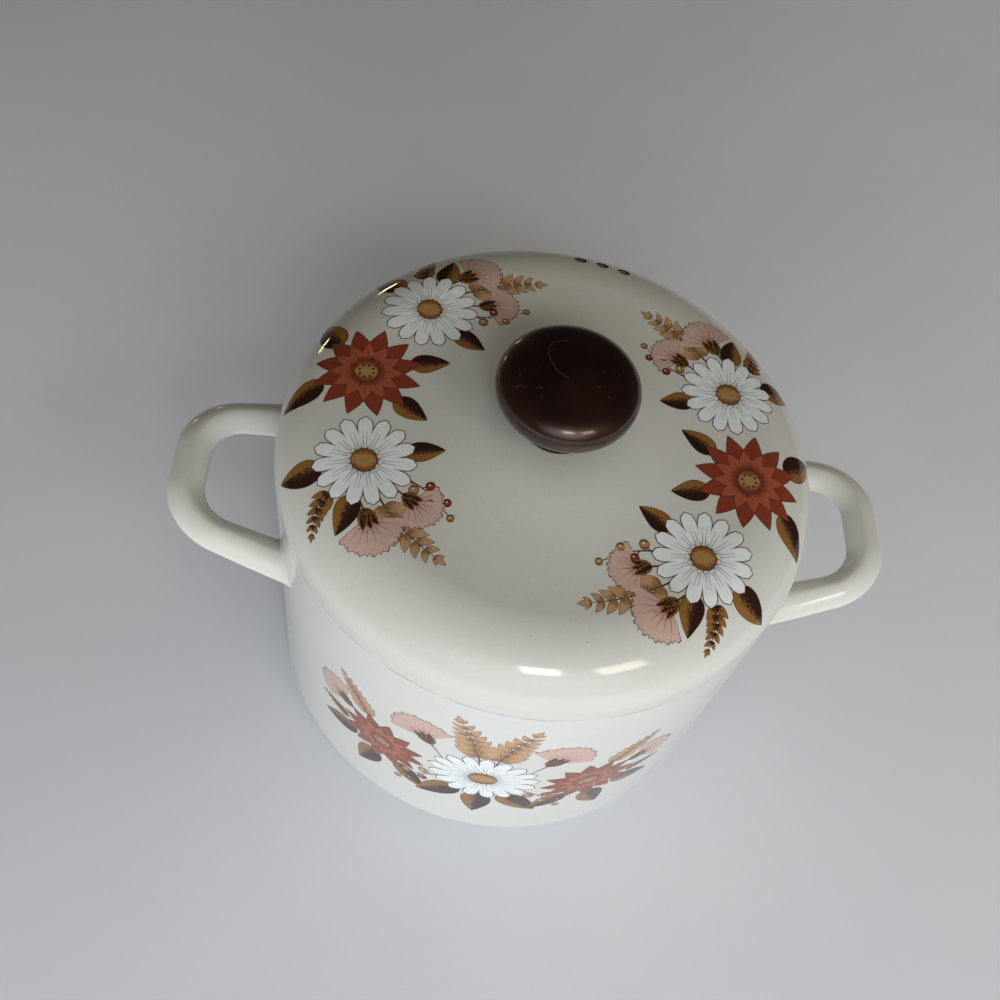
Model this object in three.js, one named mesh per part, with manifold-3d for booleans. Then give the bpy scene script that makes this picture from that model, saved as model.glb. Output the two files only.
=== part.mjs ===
// Enamel stockpot: a pressed steel pot with two strap loop handles and a flush domed lid
// that lifts off by a screwed-on phenolic knob. Millimetres, +Z up, the origin at the
// middle of the base, the handles along X.
import * as THREE from "three";
import { mergeVertices } from "three/addons/utils/BufferGeometryUtils.js";
import Module from "manifold-3d";

const wasm = await Module();
wasm.setup();
const radians = THREE.MathUtils.degToRad;

// Pot
const BODY_RADIUS = 110;
const BODY_HEIGHT = 152.4;
const BODY_WALL = 1.6;
const BASE_CORNER_RADIUS = 14;
const BASE_RECESS_RADIUS = 74;
const BASE_RECESS_STEP = 3;
const BASE_RECESS_DEPTH = 0.8;

// Lid: the turn is how it happens to sit on the pot, with its vents behind the knob
const LID_WALL = 1.4;
const LID_SKIRT_HEIGHT = 8.5;
const LID_SHOULDER_WIDTH = 22;
const LID_SHOULDER_HEIGHT = 15.4;
const LID_CROWN_RADIUS = 470;
const LID_EDGE_RADIUS = 0.6;
const LID_PLUG_DEPTH = 9;
const LID_PLUG_CLEARANCE = 0.8;
const LID_TURN = radians(-12.2);
const VENT_COUNT = 3;
const VENT_DIAMETER = 5;
const VENT_PITCH = 10;
const VENT_SHOULDER_ANGLE = radians(51.5);

// Handles: loops of arched channel, wider at the feet, that rise away from the wall below the rim
const HANDLE_DROP = 34.2;
const HANDLE_RISE = radians(13.3);
const HANDLE_REACH = 46.3;
const HANDLE_FOOT_SPREAD = 69.5;
const HANDLE_END_SPREAD = 52;
const HANDLE_BEND_RADIUS = 22.8;
const STRAP_WIDTH = 15.4;
const STRAP_FOOT_WIDTH = 17.4;
const STRAP_HEIGHT = 4.6;
const STRAP_WALL = 1.8;
const STRAP_ROUNDNESS = 2.6;

// Knob: a round-edged button on a waisted neck
const KNOB_RADIUS = 27.7;
const KNOB_HEIGHT = 34;
const KNOB_RIM_HEIGHT = 22.7;
const KNOB_ROUNDNESS = 2.55;
const KNOB_UNDERSIDE_RADIUS = 16;
const KNOB_UNDERSIDE_HEIGHT = 12.4;
const KNOB_NECK_RADIUS = 12;
const KNOB_FOOT_RADIUS = 15;
const KNOB_FOOT_EDGE = 1.2;
const KNOB_SEAT_RADIUS = 18;

// Knob fastening
const INSERT_RADIUS = 5;
const INSERT_LENGTH = 14;
const INSERT_GROOVE_WIDTH = 4;
const INSERT_GROOVE_DEPTH = 0.4;
const SCREW_RADIUS = 2.5;
const SCREW_TIP_SETBACK = 3;
const SCREW_TIP_CHAMFER = 1;
const SCREW_HEAD_RADIUS = 4.8;
const SCREW_HEAD_EDGE = 1.4;
const SCREW_HEAD_CROWN = 1.8;
const SCREW_SLOT_WIDTH = 1.3;
const SCREW_SLOT_DEPTH = 1.5;
const FIBRE_WASHER_RADIUS = 6.5;
const FIBRE_WASHER_THICKNESS = 1;
const SPRING_WASHER_RADIUS = 4.6;
const SPRING_WASHER_THICKNESS = 1.2;
const SPRING_WASHER_SLIT = radians(14);

// Clearance between neighbours, a cutter's reach past what it cuts, and how finely forms divide
const FIT = 0.3;
const CUTTER_OVERRUN = 4;
const BODY_SEGMENTS = 64;
const KNOB_SEGMENTS = 36;
const SMALL_SEGMENTS = 24;
const ARC_STEPS = 6;
const EDGE_STEPS = 4;
const SHOULDER_STEPS = 7;
const CROWN_STEPS = 5;
const BEND_STEPS = 8;
const STRAP_STEPS = 12;
const BISECTION_STEPS = 50;
const MERGE_DISTANCE = 1e-4;

const FINISHES = {
  enamel: { color: 0xe3e0d2, roughness: 0.18, metalness: 0 },
  phenolic: { color: 0x2c1512, roughness: 0.25, metalness: 0 },
  brass: { color: 0xb8924a, roughness: 0.35, metalness: 1 },
  steel: { color: 0xa9aaab, roughness: 0.35, metalness: 1 },
  fibre: { color: 0x5a2a20, roughness: 0.8, metalness: 0 },
};

const point = (x, y) => new THREE.Vector2(x, y);
const range = (count) => Array.from({ length: count }, (_, i) => i);

// Points along a superellipse's arc, angles from the +x axis; power 2 is an ellipse.
function arc(centre, semiX, semiY, from, to, steps, power = 2) {
  const bow = (value) => Math.sign(value) * Math.abs(value) ** (2 / power);
  return range(steps + 1).map((i) => {
    const angle = from + ((to - from) * i) / steps;
    return point(centre.x + semiX * bow(Math.cos(angle)), centre.y + semiY * bow(Math.sin(angle)));
  });
}

// A closed section, counter-clockwise in r and z, turned about the Z axis.
function revolve(section, segments) {
  return new THREE.LatheGeometry([...section, section[0]], segments).rotateX(Math.PI / 2);
}

function toSolid(geometry) {
  const bare = geometry.clone();
  bare.deleteAttribute("normal");
  bare.deleteAttribute("uv");
  const merged = mergeVertices(bare, MERGE_DISTANCE);
  const vertProperties = new Float32Array(merged.attributes.position.array);
  const triVerts = new Uint32Array(merged.index.array);
  return new wasm.Manifold(new wasm.Mesh({ numProp: 3, vertProperties, triVerts }));
}

function toGeometry(solid) {
  const { vertProperties, triVerts } = solid.getMesh();
  const geometry = new THREE.BufferGeometry();
  geometry.setAttribute("position", new THREE.BufferAttribute(vertProperties, 3));
  geometry.setIndex(new THREE.BufferAttribute(triVerts, 1));
  geometry.computeVertexNormals();
  return geometry;
}

function subtract(geometry, ...cutters) {
  const cut = (rest, cutter) => rest.subtract(toSolid(cutter));
  return toGeometry(cutters.reduce(cut, toSolid(geometry)));
}

function piece(name, geometry, finish) {
  const mesh = new THREE.Mesh(geometry, new THREE.MeshStandardMaterial(FINISHES[finish]));
  mesh.name = name;
  return mesh;
}

// Pot: one sheet drawn to a base with a shallow recess, a round corner, a straight wall and a round rim.
function potBody() {
  const corner = point(BODY_RADIUS - BASE_CORNER_RADIUS, BASE_CORNER_RADIUS);
  const innerCorner = BASE_CORNER_RADIUS - BODY_WALL;
  const rim = BODY_WALL / 2;
  const rimCentre = point(BODY_RADIUS - rim, BODY_HEIGHT - rim);
  const recessEnd = BASE_RECESS_RADIUS + BASE_RECESS_STEP;
  const section = [
    point(0, BASE_RECESS_DEPTH),
    point(BASE_RECESS_RADIUS, BASE_RECESS_DEPTH),
    point(recessEnd, 0),
    ...arc(corner, BASE_CORNER_RADIUS, BASE_CORNER_RADIUS, -Math.PI / 2, 0, ARC_STEPS),
    ...arc(rimCentre, rim, rim, 0, Math.PI, EDGE_STEPS),
    ...arc(corner, innerCorner, innerCorner, 0, -Math.PI / 2, ARC_STEPS),
    point(recessEnd, BODY_WALL),
    point(BASE_RECESS_RADIUS, BODY_WALL + BASE_RECESS_DEPTH),
    point(0, BODY_WALL + BASE_RECESS_DEPTH),
  ];
  return piece("pot_body", revolve(section, BODY_SEGMENTS), "enamel");
}

// The lid's heights follow from the pot's rim upwards.
const seatZ = BODY_HEIGHT + FIT;
const shoulder = point(BODY_RADIUS - LID_SHOULDER_WIDTH, seatZ + LID_SKIRT_HEIGHT);

// The angle on the shoulder's ellipse where its slope meets the crown's.
function shoulderEnd() {
  let low = 0;
  let high = Math.PI / 2;
  for (let i = 0; i < BISECTION_STEPS; i++) {
    const angle = (low + high) / 2;
    const radius = shoulder.x + LID_SHOULDER_WIDTH * Math.cos(angle);
    const rise = Math.sin(angle) / LID_SHOULDER_HEIGHT;
    const run = Math.cos(angle) / LID_SHOULDER_WIDTH;
    if (Math.atan2(rise, run) < Math.acos(radius / LID_CROWN_RADIUS)) low = angle;
    else high = angle;
  }
  return low;
}

const crownAngle = shoulderEnd();
const crownStart = shoulder.x + LID_SHOULDER_WIDTH * Math.cos(crownAngle);
const crownStartZ = shoulder.y + LID_SHOULDER_HEIGHT * Math.sin(crownAngle);
const crownRise = (radius) => Math.sqrt(LID_CROWN_RADIUS ** 2 - radius ** 2);
const crownHeight = (radius) => crownStartZ + crownRise(radius) - crownRise(crownStart);
const knobSeatZ = crownHeight(KNOB_SEAT_RADIUS);

// The lid's line from the top of its skirt to the flat seat under the knob, moved in by depth.
function lidLine(depth) {
  const semiX = LID_SHOULDER_WIDTH - depth;
  const semiY = LID_SHOULDER_HEIGHT - depth;
  const crown = range(CROWN_STEPS).map((i) => {
    const radius = crownStart + ((KNOB_SEAT_RADIUS - crownStart) * (i + 1)) / CROWN_STEPS;
    return point(radius, crownHeight(radius) - depth);
  });
  return [...arc(shoulder, semiX, semiY, 0, crownAngle, SHOULDER_STEPS), ...crown];
}

// A cutter for one of the row of steam vents, square to the shoulder.
function ventCutter(index) {
  const cos = Math.cos(VENT_SHOULDER_ANGLE);
  const sin = Math.sin(VENT_SHOULDER_ANGLE);
  const radius = shoulder.x + LID_SHOULDER_WIDTH * cos;
  const height = shoulder.y + LID_SHOULDER_HEIGHT * sin;
  const tilt = Math.atan2(sin / LID_SHOULDER_HEIGHT, cos / LID_SHOULDER_WIDTH);
  const length = 2 * (LID_WALL + CUTTER_OVERRUN);
  const cutter = new THREE.CylinderGeometry(VENT_DIAMETER / 2, VENT_DIAMETER / 2, length, SMALL_SEGMENTS);
  cutter.rotateX(tilt).translate(0, radius, height);
  return cutter.rotateZ(((VENT_COUNT - 1) / 2 - index) * (VENT_PITCH / radius));
}

// Lid: one domed sheet whose skirt steps in at the seam, to seat on the rim and plug the mouth.
function lid() {
  const plugRadius = BODY_RADIUS - BODY_WALL - LID_PLUG_CLEARANCE;
  const lip = LID_WALL / 2;
  const lipCentre = point(plugRadius - lip, seatZ - LID_PLUG_DEPTH + lip);
  const edgeCentre = point(BODY_RADIUS - LID_EDGE_RADIUS, seatZ + LID_EDGE_RADIUS);
  const holeRadius = SCREW_RADIUS + FIT;
  const section = [
    ...arc(lipCentre, lip, lip, -Math.PI, 0, EDGE_STEPS),
    point(plugRadius, seatZ),
    ...arc(edgeCentre, LID_EDGE_RADIUS, LID_EDGE_RADIUS, -Math.PI / 2, 0, EDGE_STEPS),
    ...lidLine(0),
    point(holeRadius, knobSeatZ),
    point(holeRadius, knobSeatZ - LID_WALL),
    ...lidLine(LID_WALL).reverse(),
    point(BODY_RADIUS - LID_WALL, seatZ + LID_WALL),
    point(plugRadius - LID_WALL, seatZ + LID_WALL),
  ];
  const vents = range(VENT_COUNT).map(ventCutter);
  return piece("lid", subtract(revolve(section, BODY_SEGMENTS), ...vents), "enamel");
}

// The strap's arched channel: a round-shouldered outside, and the same inside, thinner.
function strapSection(width) {
  const inside = STRAP_HEIGHT - STRAP_WALL;
  const foot = point(0, 0);
  return [
    ...arc(foot, width / 2, STRAP_HEIGHT, 0, Math.PI, STRAP_STEPS, STRAP_ROUNDNESS),
    ...arc(foot, width / 2 - STRAP_WALL, inside, Math.PI, 0, STRAP_STEPS, STRAP_ROUNDNESS),
  ];
}

// The strap's middle line in its own plane, x out from the wall and y along it. Each foot starts
// inside the wall, deep enough for its whole width to be trimmed.
function strapPath() {
  const reach = HANDLE_REACH - STRAP_WIDTH / 2;
  const slope = Math.atan2((HANDLE_FOOT_SPREAD - HANDLE_END_SPREAD) / 2, reach);
  const halfChord = HANDLE_FOOT_SPREAD / 2 + STRAP_FOOT_WIDTH;
  const sag = BODY_RADIUS - Math.sqrt(BODY_RADIUS ** 2 - halfChord ** 2);
  const turn = Math.PI / 2 - slope;
  const bendY = HANDLE_END_SPREAD / 2 - HANDLE_BEND_RADIUS * Math.tan(turn / 2);
  const bendCentre = point(reach - HANDLE_BEND_RADIUS, bendY);
  const foot = point(-sag, HANDLE_FOOT_SPREAD / 2 + sag * Math.tan(slope));
  const bend = range(BEND_STEPS + 1).map((i) => {
    const heading = -slope - (turn * i) / BEND_STEPS;
    const radial = point(-Math.sin(heading), Math.cos(heading)).multiplyScalar(HANDLE_BEND_RADIUS);
    return { at: bendCentre.clone().add(radial), heading };
  });
  const half = [{ at: foot, heading: -slope }, ...bend];
  const mirrored = half.map(({ at, heading }) => ({ at: point(at.x, -at.y), heading: -Math.PI - heading }));
  return [...half, ...mirrored.reverse()];
}

// A closed skin through rings of points, each the same count, with the caps that close its ends.
function loft(rings, caps) {
  const count = rings[0].length;
  const last = (rings.length - 1) * count;
  const index = [];
  for (const ring of range(rings.length - 1)) {
    for (const i of range(count)) {
      const a = ring * count + i;
      const b = ring * count + ((i + 1) % count);
      index.push(a, b, b + count, a, b + count, a + count);
    }
  }
  for (const [a, b, c] of caps) index.push(a, c, b, last + a, last + b, last + c);
  const geometry = new THREE.BufferGeometry().setFromPoints(rings.flat());
  geometry.setIndex(index);
  return geometry;
}

// Handle: the strap's section carried along its path and trimmed to the pot's wall.
function handle(name, azimuth) {
  const path = strapPath();
  const legLength = path[1].at.x;
  const rings = path.map(({ at, heading }) => {
    const flare = THREE.MathUtils.clamp(1 - at.x / legLength, 0, 1);
    const width = THREE.MathUtils.lerp(STRAP_WIDTH, STRAP_FOOT_WIDTH, flare);
    const across = point(-Math.sin(heading), Math.cos(heading));
    return strapSection(width).map(
      ({ x, y }) => new THREE.Vector3(at.x + x * across.x, at.y + x * across.y, y),
    );
  });
  const caps = THREE.ShapeUtils.triangulateShape(strapSection(STRAP_FOOT_WIDTH), []);
  const strap = loft(rings, caps);
  strap.rotateY(-HANDLE_RISE).translate(BODY_RADIUS, 0, BODY_HEIGHT - HANDLE_DROP);
  const trimRadius = BODY_RADIUS + FIT;
  const wall = new THREE.CylinderGeometry(trimRadius, trimRadius, BODY_HEIGHT, BODY_SEGMENTS);
  wall.rotateX(Math.PI / 2).translate(0, 0, BODY_HEIGHT / 2);
  const mesh = piece(name, subtract(strap, wall), "enamel");
  mesh.rotation.z = azimuth;
  return mesh;
}

// Knob: turned about the lid's axis, with a pocket in its foot for the threaded insert.
const knobZ = knobSeatZ + FIT;
function knob() {
  const underZ = knobZ + KNOB_UNDERSIDE_HEIGHT;
  const neckZ = knobZ + KNOB_FOOT_EDGE;
  const waistZ = (neckZ + underZ) / 2;
  const rimZ = knobZ + KNOB_RIM_HEIGHT;
  const underside = point(KNOB_UNDERSIDE_RADIUS, rimZ);
  const edge = KNOB_RADIUS - KNOB_UNDERSIDE_RADIUS;
  const crown = KNOB_HEIGHT - KNOB_RIM_HEIGHT;
  const pocketRadius = INSERT_RADIUS + FIT;
  const pocketTop = knobZ + INSERT_LENGTH + FIT;
  const neck = new THREE.Path();
  neck.moveTo(KNOB_FOOT_RADIUS, neckZ);
  neck.quadraticCurveTo(KNOB_NECK_RADIUS, neckZ, KNOB_NECK_RADIUS, waistZ);
  neck.quadraticCurveTo(KNOB_NECK_RADIUS, underZ, KNOB_UNDERSIDE_RADIUS, underZ);
  const top = arc(point(0, rimZ), KNOB_RADIUS, crown, 0, Math.PI / 2, 2 * ARC_STEPS, KNOB_ROUNDNESS);
  const section = [
    point(pocketRadius, knobZ),
    point(KNOB_FOOT_RADIUS, knobZ),
    ...neck.getPoints(EDGE_STEPS),
    ...arc(underside, edge, KNOB_RIM_HEIGHT - KNOB_UNDERSIDE_HEIGHT, -Math.PI / 2, 0, ARC_STEPS).slice(1),
    ...top.slice(1, -1),
    point(0, rimZ + crown),
    point(0, pocketTop),
    point(pocketRadius, pocketTop),
  ];
  return piece("knob", revolve(section, KNOB_SEGMENTS), "phenolic");
}

// Threaded insert: a grooved sleeve in the knob's pocket, flush with the knob's foot.
function knobInsert() {
  const bore = SCREW_RADIUS + FIT;
  const top = knobZ + INSERT_LENGTH;
  const grooveRadius = INSERT_RADIUS - INSERT_GROOVE_DEPTH;
  const grooveLow = knobZ + (INSERT_LENGTH - INSERT_GROOVE_WIDTH) / 2;
  const grooveHigh = grooveLow + INSERT_GROOVE_WIDTH;
  const section = [
    point(bore, knobZ),
    point(INSERT_RADIUS, knobZ),
    point(INSERT_RADIUS, grooveLow),
    point(grooveRadius, grooveLow + INSERT_GROOVE_DEPTH),
    point(grooveRadius, grooveHigh - INSERT_GROOVE_DEPTH),
    point(INSERT_RADIUS, grooveHigh),
    point(INSERT_RADIUS, top),
    point(bore, top),
  ];
  return piece("knob_insert", revolve(section, SMALL_SEGMENTS), "brass");
}

// Under the lid, from the enamel down: a fibre washer, a split spring washer, the screw's head.
const fibreTop = knobSeatZ - LID_WALL - FIT;
const springTop = fibreTop - FIBRE_WASHER_THICKNESS - FIT;
const headTop = springTop - SPRING_WASHER_THICKNESS - FIT;

function fibreWasher() {
  const bore = SCREW_RADIUS + FIT;
  const foot = fibreTop - FIBRE_WASHER_THICKNESS;
  const section = [
    point(bore, foot),
    point(FIBRE_WASHER_RADIUS, foot),
    point(FIBRE_WASHER_RADIUS, fibreTop),
    point(bore, fibreTop),
  ];
  return piece("fibre_washer", revolve(section, SMALL_SEGMENTS), "fibre");
}

function springWasher() {
  const from = SPRING_WASHER_SLIT / 2;
  const to = 2 * Math.PI - from;
  const ring = new THREE.Shape();
  ring.absarc(0, 0, SPRING_WASHER_RADIUS, from, to, false);
  ring.absarc(0, 0, SCREW_RADIUS + FIT, to, from, true);
  const geometry = new THREE.ExtrudeGeometry(ring, {
    depth: SPRING_WASHER_THICKNESS,
    bevelEnabled: false,
    curveSegments: SMALL_SEGMENTS,
  });
  geometry.translate(0, 0, springTop - SPRING_WASHER_THICKNESS);
  return piece("spring_washer", geometry, "steel");
}

function knobScrew() {
  const edge = point(0, headTop - SCREW_HEAD_EDGE);
  const headFoot = edge.y - SCREW_HEAD_CROWN;
  const tip = knobZ + INSERT_LENGTH - SCREW_TIP_SETBACK;
  const section = [
    point(0, headFoot),
    ...arc(edge, SCREW_HEAD_RADIUS, SCREW_HEAD_CROWN, -Math.PI / 2, 0, ARC_STEPS).slice(1),
    point(SCREW_HEAD_RADIUS, headTop),
    point(SCREW_RADIUS, headTop),
    point(SCREW_RADIUS, tip - SCREW_TIP_CHAMFER),
    point(SCREW_RADIUS - SCREW_TIP_CHAMFER, tip),
    point(0, tip),
  ];
  const slotLength = 2 * (SCREW_HEAD_RADIUS + CUTTER_OVERRUN);
  const slot = new THREE.BoxGeometry(slotLength, SCREW_SLOT_WIDTH, 2 * SCREW_SLOT_DEPTH);
  slot.translate(0, 0, headFoot);
  return piece("knob_screw", subtract(revolve(section, SMALL_SEGMENTS), slot), "steel");
}

const stockpot = new THREE.Group();
stockpot.add(potBody(), handle("right_handle", 0), handle("left_handle", Math.PI));

const lidAssembly = new THREE.Group();
lidAssembly.rotation.z = LID_TURN;
lidAssembly.add(lid(), knob(), knobInsert(), fibreWasher(), springWasher(), knobScrew());
stockpot.add(lidAssembly);

export default stockpot;
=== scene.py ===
"""Looks of the enamel stockpot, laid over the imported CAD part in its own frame.

Sizes are in millimetres and repeat the part's source; they become metres as a mesh is made.
Smooth turned and swept skins stand for the faceted nodes, the flower sprays are thin skins
printed on the enamel, and every finish is procedural.
"""
import math

import bmesh
import bpy
import numpy as np
from mathutils import Matrix, Vector


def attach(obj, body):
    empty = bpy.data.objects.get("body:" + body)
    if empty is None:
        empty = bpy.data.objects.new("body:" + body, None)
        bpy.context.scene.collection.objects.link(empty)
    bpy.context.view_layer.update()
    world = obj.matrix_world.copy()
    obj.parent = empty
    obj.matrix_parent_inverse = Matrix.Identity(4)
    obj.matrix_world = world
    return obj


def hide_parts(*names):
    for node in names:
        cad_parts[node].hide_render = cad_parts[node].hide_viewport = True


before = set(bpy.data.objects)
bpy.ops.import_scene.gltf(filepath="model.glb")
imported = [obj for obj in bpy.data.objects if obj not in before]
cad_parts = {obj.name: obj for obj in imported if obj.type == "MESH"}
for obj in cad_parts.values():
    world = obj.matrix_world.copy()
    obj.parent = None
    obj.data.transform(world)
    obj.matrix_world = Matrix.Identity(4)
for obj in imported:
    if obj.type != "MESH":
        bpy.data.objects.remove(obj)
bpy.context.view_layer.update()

MM = 0.001
WELD = 2e-7
SHARP_EDGE = math.radians(38)
TURN_SEGMENTS = 288
KNOB_SEGMENTS = 192
SMALL_SEGMENTS = 96
SCREW_SEGMENTS = 48
LONGEST_STEP = 3.0

# Pot
POT_RADIUS = 110.0
POT_HEIGHT = 152.4
POT_WALL = 1.6
RIM_OUTER = 0.4
RIM_INNER = 0.9
BASE_CORNER = 14.0
RECESS_RADIUS = 74.0
RECESS_STEP = 3.0
RECESS_DEPTH = 0.8

# Lid
FIT = 0.3
SEAT = POT_HEIGHT + FIT
SEAM_GAP = 0.12
LID_WALL = 1.4
LID_EDGE = 0.35
LID_FOLD = 0.8
SKIRT_HEIGHT = 6.5
SHOULDER = (30.0, 21.3)
SHOULDER_CENTRE = (POT_RADIUS - SHOULDER[0], SEAT + SKIRT_HEIGHT)
CROWN_FLAT = (SHOULDER_CENTRE[0], SHOULDER_CENTRE[1] + SHOULDER[1])
CROWN_MIDDLE = (42.0, CROWN_FLAT[1] + 2.45)
KNOB_SEAT = (18.0, 185.168)
PLUG_DEPTH = 9.0
PLUG_RADIUS = POT_RADIUS - POT_WALL - 0.8
LID_TURN = math.radians(-12.2)
VENT_COUNT = 3
VENT_RADIUS = 2.5
VENT_PITCH = 10.0
VENT_ANGLE = math.radians(54.5)
VENT_FLARE = 0.5
VENT_LIP = 0.75
CUTTER_OVERRUN = 2.0

# Handles
HANDLE_DROP = 34.2
HANDLE_RISE = math.radians(13.3)
HANDLE_REACH = 46.3
FOOT_SPREAD = 69.5
END_SPREAD = 52.0
BEND_RADIUS = 22.8
STRAP_WIDTH = 15.4
STRAP_FOOT = 17.4
STRAP_HEIGHT = 7.0
STRAP_WALL = 1.8
STRAP_ROUNDNESS = 1.65
WELD_FILLET = 2.2
FILLET_SWELL = 0.6
FILLET_STANDS = (-0.5, 0, 0.12, 0.3, 0.6, 1.0, 1.5, WELD_FILLET, 3.2)

# Knob and its fastening
KNOB_RADIUS = 27.7
KNOB_HEIGHT = 34.0
KNOB_RIM = 22.7
KNOB_ROUNDNESS = 2.55
KNOB_UNDERSIDE = (16.0, 12.4)
KNOB_NECK = 12.0
KNOB_FOOT = (15.0, 1.2)
KNOB_FOOT_ROUND = 0.4
INSERT_LENGTH = 14.0
POCKET = (5.3, INSERT_LENGTH + FIT)
SCREW_RADIUS = 2.5
SCREW_HOLE = SCREW_RADIUS + FIT
SCREW_SETBACK = 3.0
SCREW_HEAD = (4.8, 1.4, 1.8)
HEAD_EDGE = 0.2
SCREW_CHAMFER = 1.0
SCREW_SLOT = (1.3, 1.5)
THREAD = (0.8, 0.4)
FIBRE_WASHER = (6.5, 1.0)
SPRING_WASHER = (4.6, 1.2)
SPRING_SLIT = math.radians(14)
SPRING_TWIST = 0.1


# Sections in a plane of radius and height

def bow(value, power):
    return np.sign(value) * np.abs(value) ** (2 / power)


def arc(centre, semi, start, stop, steps, power=2.0):
    """Points along a superellipse's arc, with its angles in degrees."""
    angle = np.radians(np.linspace(start, stop, steps + 1))
    across = centre[0] + semi[0] * bow(np.cos(angle), power)
    return np.column_stack((across, centre[1] + semi[1] * bow(np.sin(angle), power)))


def corner(centre, radius, start, stop, steps=8):
    return arc(centre, (radius, radius), start, stop, steps)


def ease(start, stop, steps=10):
    """Points on an S-shaped step from one point to another."""
    share = np.linspace(0, 1, steps + 1)[:, None]
    bent = np.hstack((share, share * share * (3 - 2 * share)))
    return np.array(start) + (np.array(stop) - np.array(start)) * bent


def curve(start, pull, stop, steps=12):
    """Points on a curve that leaves start and reaches stop in line with pull."""
    share = np.linspace(0, 1, steps + 1)[:, None]
    start, pull, stop = (np.array(point, float) for point in (start, pull, stop))
    return (1 - share) ** 2 * start + 2 * share * (1 - share) * pull + share ** 2 * stop


def pot_section():
    """A drawn sheet: recessed base, round corner, straight wall and round rim."""
    middle = (POT_RADIUS - BASE_CORNER, BASE_CORNER)
    inside = POT_RADIUS - POT_WALL
    recess_end = RECESS_RADIUS + RECESS_STEP
    return np.vstack((
        [(0, RECESS_DEPTH)],
        ease((RECESS_RADIUS, RECESS_DEPTH), (recess_end, 0)),
        corner(middle, BASE_CORNER, -90, 0, 32),
        corner((POT_RADIUS - RIM_OUTER, POT_HEIGHT - RIM_OUTER), RIM_OUTER, 0, 90),
        corner((inside + RIM_INNER, POT_HEIGHT - RIM_INNER), RIM_INNER, 90, 180),
        corner(middle, BASE_CORNER - POT_WALL, 0, -90, 32),
        ease((recess_end, POT_WALL), (RECESS_RADIUS, POT_WALL + RECESS_DEPTH)),
        [(0, POT_WALL + RECESS_DEPTH)],
    ))


KNOB_Z = KNOB_SEAT[1] + FIT


def lid_line(depth):
    """The lid from the top of its skirt to the knob's seat, moved in by depth."""
    semi = (SHOULDER[0] - depth, SHOULDER[1] - depth)
    slope = (CROWN_MIDDLE[1] - CROWN_FLAT[1]) / (CROWN_FLAT[0] - CROWN_MIDDLE[0]) * 2
    turn = ((CROWN_FLAT[0] + CROWN_MIDDLE[0]) / 2, CROWN_FLAT[1])
    brow = (CROWN_MIDDLE[0] - (KNOB_SEAT[1] - CROWN_MIDDLE[1]) / slope, KNOB_SEAT[1])
    crown = np.vstack((
        curve(CROWN_FLAT, turn, CROWN_MIDDLE, 24)[1:],
        curve(CROWN_MIDDLE, brow, KNOB_SEAT)[1:],
    ))
    return np.vstack((arc(SHOULDER_CENTRE, semi, 0, 90, 72), crown - (0, depth)))


def lid_section():
    """A domed sheet whose skirt steps in at the seam to plug the pot's mouth."""
    lip = LID_WALL / 2
    edge = POT_HEIGHT + SEAM_GAP
    inner = SEAT + LID_WALL
    return np.vstack((
        corner((PLUG_RADIUS - lip, SEAT - PLUG_DEPTH + lip), lip, -180, 0, 12),
        corner((PLUG_RADIUS + LID_EDGE, edge - LID_EDGE), LID_EDGE, 180, 90),
        corner((POT_RADIUS - LID_EDGE, edge + LID_EDGE), LID_EDGE, -90, 0),
        lid_line(0),
        [(SCREW_HOLE, KNOB_SEAT[1]), (SCREW_HOLE, KNOB_SEAT[1] - LID_WALL)],
        lid_line(LID_WALL)[::-1],
        corner((POT_RADIUS - LID_WALL - LID_FOLD, inner + LID_FOLD), LID_FOLD, 0, -90),
        corner((PLUG_RADIUS - LID_WALL + LID_FOLD, inner - LID_FOLD), LID_FOLD, 90, 180),
    ))


def knob_section():
    """A round-edged button on a waisted neck, with a pocket for its insert."""
    under, neck, rim = (KNOB_Z + z for z in (KNOB_UNDERSIDE[1], KNOB_FOOT[1], KNOB_RIM))
    waist = (KNOB_NECK, (neck + under) / 2)
    brim = (KNOB_RADIUS - KNOB_UNDERSIDE[0], KNOB_RIM - KNOB_UNDERSIDE[1])
    crown = (KNOB_RADIUS, KNOB_HEIGHT - KNOB_RIM)
    pocket_top = KNOB_Z + POCKET[1]
    foot = (KNOB_FOOT[0] - KNOB_FOOT_ROUND, KNOB_Z + KNOB_FOOT_ROUND)
    return np.vstack((
        [(POCKET[0], KNOB_Z)],
        corner(foot, KNOB_FOOT_ROUND, -90, 0),
        curve((KNOB_FOOT[0], neck), (KNOB_NECK, neck), waist),
        curve(waist, (KNOB_NECK, under), (KNOB_UNDERSIDE[0], under))[1:],
        arc((KNOB_UNDERSIDE[0], rim), brim, -90, 0, 24)[1:],
        arc((0, rim), crown, 0, 90, 64, KNOB_ROUNDNESS)[1:-1],
        [(0, KNOB_Z + KNOB_HEIGHT), (0, pocket_top), (POCKET[0], pocket_top)],
    ))


FIBRE_TOP = KNOB_SEAT[1] - LID_WALL - FIT
SPRING_TOP = FIBRE_TOP - FIBRE_WASHER[1] - FIT
HEAD_TOP = SPRING_TOP - SPRING_WASHER[1] - FIT
WASHER_ROUND = 0.15


def ring_section(inner, outer, low, high):
    """A washer's section with round edges."""
    low, high = low + WASHER_ROUND, high - WASHER_ROUND
    inner, outer = inner + WASHER_ROUND, outer - WASHER_ROUND
    return np.vstack((
        corner((inner, low), WASHER_ROUND, -180, -90, 4),
        corner((outer, low), WASHER_ROUND, -90, 0, 4),
        corner((outer, high), WASHER_ROUND, 0, 90, 4),
        corner((inner, high), WASHER_ROUND, 90, 180, 4),
    ))


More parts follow.
